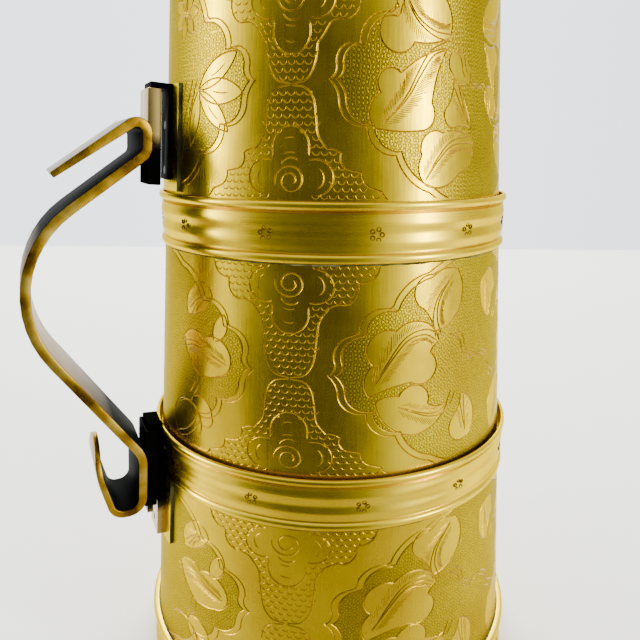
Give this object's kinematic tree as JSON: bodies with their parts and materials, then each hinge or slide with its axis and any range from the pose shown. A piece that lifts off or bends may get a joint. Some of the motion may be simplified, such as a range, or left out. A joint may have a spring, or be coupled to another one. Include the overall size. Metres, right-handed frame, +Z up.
{
  "type": "tiffin carrier",
  "caption": "Tapered stacking tiffin carrier in engraved brass with nesting tiers, banded collars, a domed lid and a forged strap handle that hooks onto the stack.",
  "frame": {"origin": "centre of the flat rest face under the foot", "axes": "+Z up along the stack, handle on the -X side in the XZ plane"},
  "size_m": [0.1818, 0.148, 0.3119],
  "materials": {
    "engraved_brass": "aged polished brass, hand engraved",
    "turned_brass": "turned and polished",
    "forged_brass": "forged, filed edges, darkened",
    "dark_brass": "darkened brass sheet",
    "tinned_brass": "tin-lined brass sheet"
  },
  "bodies": {
    "bottom_tier": {"bottom_wall": "engraved_brass", "bottom_base": "tinned_brass", "bottom_collar": "turned_brass", "foot_band": "turned_brass", "bottom_plate": "dark_brass", "bottom_hook": "dark_brass", "bottom_rivets": "dark_brass"},
    "middle_tier": {"middle_wall": "engraved_brass", "middle_base": "tinned_brass", "middle_collar": "turned_brass"},
    "top_tier": {"top_wall": "engraved_brass", "top_base": "tinned_brass", "top_collar": "turned_brass", "top_plate": "dark_brass", "top_hook": "dark_brass", "top_rivets": "dark_brass"},
    "handle": {"handle_strap": "forged_brass", "upper_sleeve": "dark_brass", "lower_sleeve": "dark_brass"},
    "lid": {"lid_dome": "engraved_brass", "lid_bead": "turned_brass", "lid_skirt": "tinned_brass", "knob": "turned_brass", "knob_rivet": "dark_brass", "knob_washer": "dark_brass"}
  },
  "joints": [
    {"name": "middle_tier_lift", "type": "slide", "parent": "bottom_tier", "child": "middle_tier", "axis": [0, 0, 1], "range_m": [0, 0.022]},
    {"name": "top_tier_lift", "type": "slide", "parent": "middle_tier", "child": "top_tier", "axis": [0, 0, 1], "range_m": [0, 0.06]},
    {"name": "lid_lift", "type": "slide", "parent": "top_tier", "child": "lid", "axis": [0, 0, 1], "range_m": [0, 0.04]},
    {"name": "handle_slide", "type": "slide", "parent": "bottom_tier", "child": "handle", "axis": [-0.073, 0, -0.9973], "range_m": [0, 0.034]}
  ]
}
